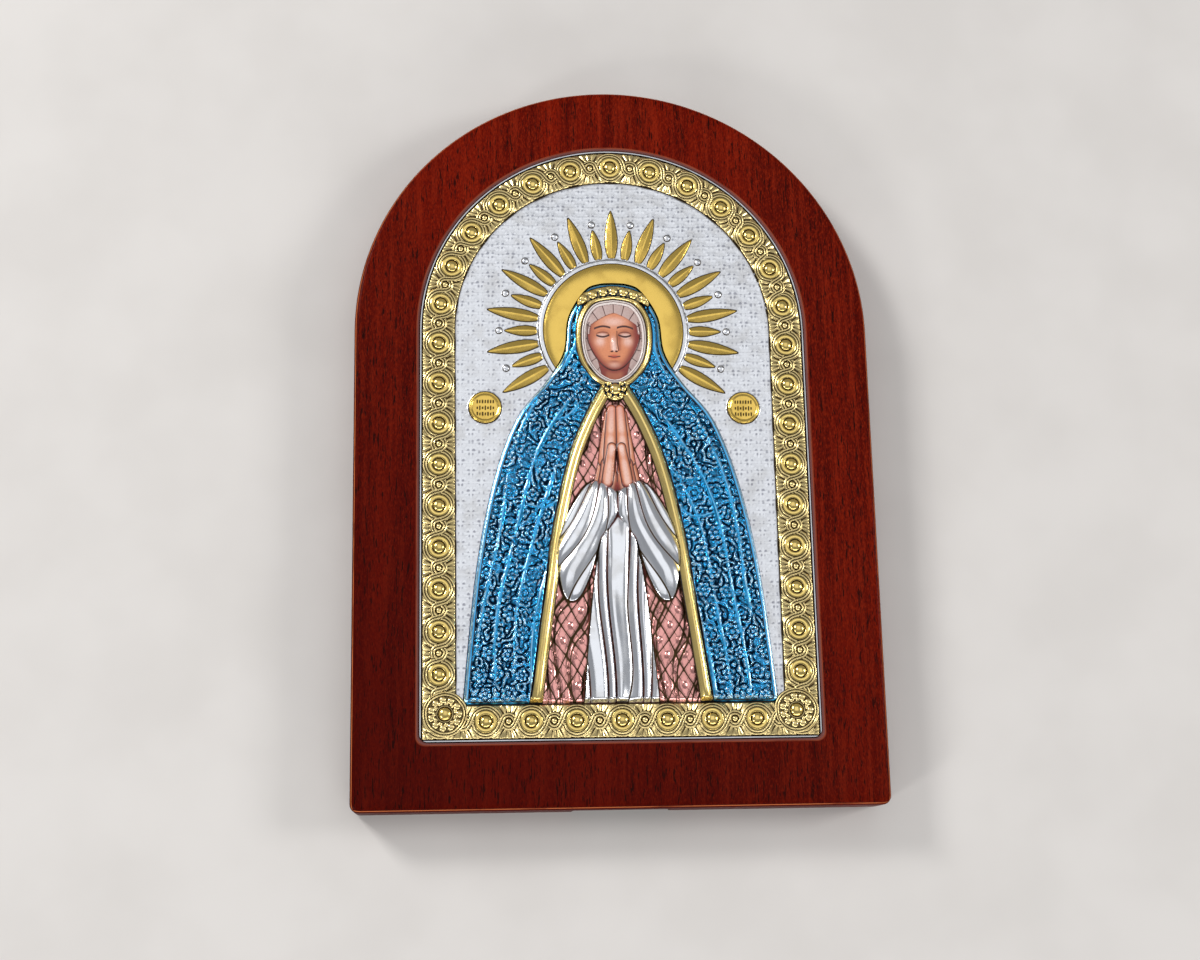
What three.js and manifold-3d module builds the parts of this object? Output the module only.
// Icon panel: an arched wooden board with an embossed metal plate set into its front. Lies on its back, mm, +Z up.
import * as THREE from "three";
import { mergeVertices } from "three/addons/utils/BufferGeometryUtils.js";
import Module from "manifold-3d";

// Board
const WIDTH = 120;
const HEIGHT = 170;
const THICK = 12;
const FOOT_CORNER = 2;
const EDGE_ROUND = 1.2;
const SPRING = HEIGHT - WIDTH / 2;
const MARGIN = 15;
const RECESS_DEPTH = 2.5;
const RECESS_FLARE = 1;
const SLOT_WIDTH = 22;
const SLOT_DEPTH = 7;
const SLOT_LENGTH = 60;

// Plate: outline, border and ground
const PLATE_GAP = 0.4;
const PLATE_HALF = WIDTH / 2 - MARGIN - PLATE_GAP;
const BORDER_WIDTH = 8;
const FIELD_HALF = PLATE_HALF - BORDER_WIDTH;
const FIELD_FOOT = MARGIN + PLATE_GAP + BORDER_WIDTH;
const FLOOR = THICK - RECESS_DEPTH;
const GROUND = THICK - 0.75;
const BORDER_CREST = THICK + 0.25;
const BOSS_LINE = PLATE_HALF - BORDER_WIDTH / 2;
const ARCH_STEPS = 15;
const LOWEST_BOSS = 29.9;
const FOOT_PITCH = 10.1;
const FOOT_BOSSES = 3;
const CORNER_X = 39.3;
const CORNER_Y = 21.2;

// Relief on the ground
const HALO_Y = 110;
const HALO_RADIUS = 17.5;
const HALO_RISE = 0.5;
const LEAVES = 25;
const LEAF_SPAN = 240;
const LEAF_LONG = 12.5;
const LEAF_SHORT = 8;
const ROUNDEL_X = 30;
const ROUNDEL_Y = 91.4;
const ROUNDEL_RADIUS = 3.8;
const STROKE_ROWS = 3;
const MANTLE_RISE = 1.5;
const GOWN_RISE = 0.9;
const FACE_Y = 108.5;
const FACE_HALF_WIDTH = 6.2;
const FACE_HALF_HEIGHT = 8.3;
const FOLDS = 4;

const wasm = await Module();
wasm.setup();

// A closed geometry as a solid that can be joined and cut.
function solid(geometry) {
  geometry.deleteAttribute("normal");
  geometry.deleteAttribute("uv");
  const merged = mergeVertices(geometry, 1e-4);
  return new wasm.Manifold(new wasm.Mesh({
    numProp: 3,
    vertProperties: merged.attributes.position.array,
    triVerts: new Uint32Array(merged.index.array),
  }));
}

function join(solids) {
  return solids.reduce((whole, piece) => whole.add(piece));
}

// A named mesh from a solid, with its colour and finish.
function meshOf(body, name, color, roughness, metalness) {
  const cut = body.getMesh();
  const geometry = new THREE.BufferGeometry();
  geometry.setAttribute("position", new THREE.BufferAttribute(cut.vertProperties, 3));
  geometry.setIndex(new THREE.BufferAttribute(cut.triVerts, 1));
  geometry.computeVertexNormals();
  const mesh = new THREE.Mesh(geometry, new THREE.MeshStandardMaterial({ color, roughness, metalness }));
  mesh.name = name;
  return mesh;
}

// A circular run of points about a centre, between two angles in quarter turns.
function arc(x, y, radius, from, to, steps) {
  return Array.from({ length: steps + 1 }, (_, i) => {
    const angle = (from + (to - from) * i / steps) * Math.PI / 2;
    return new THREE.Vector2(x + radius * Math.cos(angle), y + radius * Math.sin(angle));
  });
}

// Outline with a semicircular top and small round corners at the foot.
function arch(half, foot, corner, steps) {
  return new THREE.Shape([
    ...arc(half - corner, foot + corner, corner, -1, 0, 3),
    ...arc(0, SPRING, half, 0, 2, steps),
    ...arc(-half + corner, foot + corner, corner, 2, 3, 3),
  ]);
}

// A shape raised from one height to another, its edges rounded within its outline.
function raise(shape, from, to, round, bands = 2, curveSegments = 12) {
  const geometry = new THREE.ExtrudeGeometry(shape, {
    depth: to - from - 2 * round,
    bevelEnabled: round > 0,
    bevelThickness: round,
    bevelSize: round,
    bevelOffset: -round,
    bevelSegments: bands,
    curveSegments,
  });
  return solid(geometry.translate(0, 0, from + round));
}

// A turned form on an upright axis, from its profile of radius and height, closed down to the floor.
function turned(profile, x, y, z, sides) {
  const points = profile.map(([r, h]) => new THREE.Vector2(r, h));
  points.unshift(new THREE.Vector2(profile[0][0], FLOOR + 0.5 - z));
  points.unshift(new THREE.Vector2(0, FLOOR + 0.5 - z));
  const geometry = new THREE.LatheGeometry(points, sides);
  return solid(geometry.rotateX(Math.PI / 2).translate(x, y, z));
}

// A rounded form: a sphere stretched to three half sizes and turned in the plane of the plate.
function swell(x, y, z, hx, hy, hz, turn = 0, sides = 10, rows = 5) {
  const geometry = new THREE.SphereGeometry(1, sides, rows).rotateX(Math.PI / 2);
  return solid(geometry.scale(hx, hy, hz).rotateZ(turn).translate(x, y, z));
}

// A raised fold: a round section that swells and dies away along a curve.
function fold(points, z, half, rise, steps, sides = 6) {
  const line = new THREE.SplineCurve(points.map(([x, y]) => new THREE.Vector2(x, y)));
  const geometry = new THREE.CylinderGeometry(1, 1, 1, sides, steps);
  const place = geometry.attributes.position;
  for (let i = 0; i < place.count; i++) {
    const along = THREE.MathUtils.clamp(place.getY(i) + 0.5, 0, 1);
    const at = line.getPoint(along);
    const way = line.getTangent(along);
    const size = 0.12 + 0.88 * Math.sin(Math.PI * along) ** 0.6;
    const side = place.getX(i) * half * size;
    place.setXYZ(i, at.x + way.y * side, at.y - way.x * side, z + place.getZ(i) * rise * size);
  }
  return solid(geometry);
}

// A smooth outline, mirrored to both sides, from points down its right side.
function mirrored(side, steps) {
  const right = new THREE.SplineCurve(side.map(([x, y]) => new THREE.Vector2(x, y))).getPoints(steps);
  const left = right.filter((p) => p.x > 0.01).map((p) => new THREE.Vector2(-p.x, p.y));
  return [...right.reverse(), ...left];
}

function oval(x, y, halfWidth, halfHeight) {
  const shape = new THREE.Shape();
  shape.absellipse(x, y, halfWidth, halfHeight, 0, 2 * Math.PI, false);
  return shape;
}

// The board, with its recess in front and its slot behind.
function board() {
  const body = raise(arch(WIDTH / 2, 0, FOOT_CORNER, 48), 0, THICK, EDGE_ROUND);
  const inner = WIDTH / 2 - MARGIN;
  const recess = raise(arch(inner, MARGIN, 1.5, 40), FLOOR, THICK + 2, 0);
  const flared = arch(inner + RECESS_FLARE, MARGIN - RECESS_FLARE, 2.5, 40);
  const flare = raise(flared, THICK - RECESS_FLARE, THICK + 3, RECESS_FLARE, 1);
  const slot = new THREE.Shape([
    new THREE.Vector2(-SLOT_WIDTH / 2, -2),
    new THREE.Vector2(SLOT_WIDTH / 2, -2),
    ...arc(0, SLOT_LENGTH - SLOT_WIDTH / 2, SLOT_WIDTH / 2, 0, 2, 16),
  ]);
  return body.subtract(recess).subtract(flare).subtract(raise(slot, -2, SLOT_DEPTH, 0));
}

// Where the border's large bosses sit, along both sides and the arch, and where the small ones sit between them.
function bossPath(step) {
  const quarter = BOSS_LINE * Math.PI / 2;
  const run = Math.abs(step) / ARCH_STEPS * (quarter + SPRING - LOWEST_BOSS);
  const side = Math.sign(step);
  if (run > quarter) return [side * BOSS_LINE, SPRING - (run - quarter)];
  return [side * BOSS_LINE * Math.sin(run / BOSS_LINE), SPRING + BOSS_LINE * Math.cos(run / BOSS_LINE)];
}

function border() {
  const band = raise(arch(PLATE_HALF, FIELD_FOOT - BORDER_WIDTH, 1.5, 32), FLOOR + 0.5, BORDER_CREST, 0.8, 1);
  const opening = raise(arch(FIELD_HALF, FIELD_FOOT, 0.8, 32), FLOOR, BORDER_CREST + 1, 0);
  const slope = raise(arch(FIELD_HALF + 0.8, FIELD_FOOT - 0.8, 1.5, 32), BORDER_CREST - 0.8, BORDER_CREST + 2, 0.8, 1);
  const parts = [band.subtract(opening).subtract(slope)];
  const large = [[3.05, 0], [2.7, 0.7], [2, 0.45], [1.35, 1.1], [0, 1.45]];
  const small = [[1.5, 0], [1, 0.65], [0, 0.95]];
  const corner = [[4.3, 0], [3.9, 0.75], [3, 0.5], [2.1, 1.3], [0, 1.7]];
  const foot = BORDER_CREST - 0.35;
  for (let step = -ARCH_STEPS; step <= ARCH_STEPS; step++) {
    parts.push(turned(large, ...bossPath(step), foot, 9));
    if (step < ARCH_STEPS) parts.push(turned(small, ...bossPath(step + 0.5), foot, 6));
  }
  const footLine = FIELD_FOOT - BORDER_WIDTH / 2;
  for (let i = -FOOT_BOSSES; i <= FOOT_BOSSES; i++) {
    parts.push(turned(large, i * FOOT_PITCH, footLine, foot, 9));
    if (i < FOOT_BOSSES) parts.push(turned(small, (i + 0.5) * FOOT_PITCH, footLine, foot, 6));
  }
  for (const side of [-1, 1]) parts.push(turned(corner, side * CORNER_X, CORNER_Y, foot, 12));
  return join(parts);
}

// The halo, its rim, and the leaves that radiate from it.
function glory() {
  const z = GROUND + HALO_RISE;
  const disc = [[HALO_RADIUS, 0], [HALO_RADIUS - 0.6, 0.35], [HALO_RADIUS - 1.2, 0], [0, 0.2]];
  const parts = [turned(disc, 0, HALO_Y, z, 32)];
  for (let i = 0; i < LEAVES; i++) {
    const turn = THREE.MathUtils.degToRad((i / (LEAVES - 1) - 0.5) * LEAF_SPAN);
    const long = i % 2 ? LEAF_SHORT : LEAF_LONG;
    const leaf = new THREE.Shape();
    leaf.moveTo(-0.6, HALO_RADIUS - 1);
    leaf.quadraticCurveTo(-2.2, HALO_RADIUS + 0.4 * long, 0, HALO_RADIUS + long);
    leaf.quadraticCurveTo(2.2, HALO_RADIUS + 0.4 * long, 0.6, HALO_RADIUS - 1);
    const raised = raise(leaf, FLOOR + 0.5, GROUND + 0.45, 0, 1, 3);
    parts.push(raised.rotate([0, 0, -turn * 180 / Math.PI]).translate([0, HALO_Y, 0]));
  }
  return join(parts);
}

// A roundel with a raised rim and rows of short strokes.
function roundel(side) {
  const x = side * ROUNDEL_X;
  const z = GROUND + 0.5;
  const profile = [[ROUNDEL_RADIUS, 0], [ROUNDEL_RADIUS - 0.4, 0.35], [ROUNDEL_RADIUS - 0.8, 0], [0, 0]];
  const parts = [turned(profile, x, ROUNDEL_Y, z, 20)];
  for (let row = 0; row < STROKE_ROWS; row++) {
    const y = ROUNDEL_Y + (row - (STROKE_ROWS - 1) / 2) * 1.5;
    parts.push(solid(new THREE.BoxGeometry(3.6, 0.5, 0.6).translate(x, y, z)));
  }
  return join(parts);
}

// Veil and mantle in one, open at the face and down the front, with folds from the shoulders to the hem.
function mantle() {
  const side = [[0, 121.5], [6.5, 119.6], [10.6, 113], [11.8, 104.5], [16, 97.5], [23, 88.5], [28.5, 73],
    [32.5, 52], [35.5, 22.5]];
  const opening = [[0, 95.5], [4.2, 88], [8.2, 78], [11.5, 64], [14.2, 46], [17.5, 24]];
  const top = GROUND + MANTLE_RISE;
  const body = raise(new THREE.Shape(mirrored(side, 24)), FLOOR + 0.5, top, 0.8);
  const face = raise(oval(0, FACE_Y, FACE_HALF_WIDTH + 1.3, FACE_HALF_HEIGHT + 1.3), FLOOR, top + 1, 0);
  const gap = raise(new THREE.Shape(mirrored(opening, 16)), FLOOR, top + 1, 0);
  const parts = [body.subtract(face).subtract(gap)];
  for (const flip of [-1, 1]) {
    const edge = opening.map(([x, y]) => [flip * (x + 1.2), y + 0.8]);
    parts.push(fold(edge, top, 1.7, 0.8, 10));
    for (let i = 0; i < FOLDS; i++) {
      const line = [[9 + 2.6 * i, 98 - 3.6 * i], [13.5 + 3.6 * i, 74 - 3 * i], [19.5 + 4 * i, 26]];
      parts.push(fold(line.map(([x, y]) => [flip * x, y]), top, 1.3, 0.9, 7));
    }
  }
  return join(parts);
}

// Gown, hanging cloth, sleeves and joined hands within the mantle's opening, and the clasp above them.
function front() {
  const z = GROUND + GOWN_RISE;
  const gown = [[0, 96], [4.6, 88], [8.6, 78], [11.9, 64], [14.6, 46], [17.9, 22.5]];
  const cloth = [[0, 68], [4, 60], [6.5, 44], [8.5, 22.5]];
  const parts = [
    raise(new THREE.Shape(mirrored(gown, 10)), FLOOR + 0.5, z, 0),
    raise(new THREE.Shape(mirrored(cloth, 8)), FLOOR + 0.5, z + 0.5, 0),
  ];
  for (const flip of [-1, 1]) {
    parts.push(fold([[flip * 11, 58], [flip * 13, 24]], z, 1, 0.6, 4));
    parts.push(fold([[flip * 2.2, 60], [flip * 4.6, 24]], z + 0.5, 0.8, 0.6, 4));
    parts.push(swell(flip * 6.5, 66.5, z, 4.6, 8, 1.9, flip * 0.6));
    parts.push(swell(flip * 9.2, 57.5, z, 3, 8.5, 1.7, flip * 0.18));
  }
  for (let finger = 0; finger < 4; finger++) {
    const x = -2.6 + 1.7 * finger;
    const tip = 89.5 + 2.2 * Math.sin((finger + 0.6) * 0.85);
    parts.push(fold([[x * 0.9, 70], [x, 80], [x * 0.7 + 0.6, tip]], z + 1, 1, 1.5, 5));
  }
  parts.push(swell(0, 76, z, 4.4, 6.4, 2.3));
  parts.push(turned([[2.6, 0], [1.9, 0.6], [0, 0.9]], 0, 95.2, GROUND + MANTLE_RISE + 0.2, 12));
  return join(parts);
}

// Inner veil and the face, a plain oval with brow, nose and chin.
function head() {
  const z = GROUND + 0.9;
  const veil = oval(0, FACE_Y, FACE_HALF_WIDTH + 1.5, FACE_HALF_HEIGHT + 1.5);
  return join([
    raise(veil, FLOOR + 0.5, z, 0),
    swell(0, FACE_Y, z, FACE_HALF_WIDTH, FACE_HALF_HEIGHT, 1.2, 0, 14, 6),
    swell(0, FACE_Y - 0.6, z + 1.1, 0.8, 2.2, 0.7, 0, 8, 4),
  ]);
}

function plate() {
  const base = raise(arch(PLATE_HALF, FIELD_FOOT - BORDER_WIDTH, 1.5, 32), FLOOR, GROUND, 0);
  const field = raise(arch(FIELD_HALF + 1, FIELD_FOOT - 1, 1, 32), FLOOR + 0.25, THICK + 9, 0);
  const figure = join([glory(), roundel(-1), roundel(1), mantle(), front(), head()]).intersect(field);
  return join([base, border(), figure]);
}

const panel = new THREE.Group();
panel.name = "icon_panel";
const pieces = new THREE.Group();
pieces.position.y = -HEIGHT / 2;
pieces.add(meshOf(board(), "wooden_board", 0x6b2a16, 0.28, 0));
pieces.add(meshOf(plate(), "embossed_plate", 0xc9c2ac, 0.28, 1));
panel.add(pieces);

export default panel;
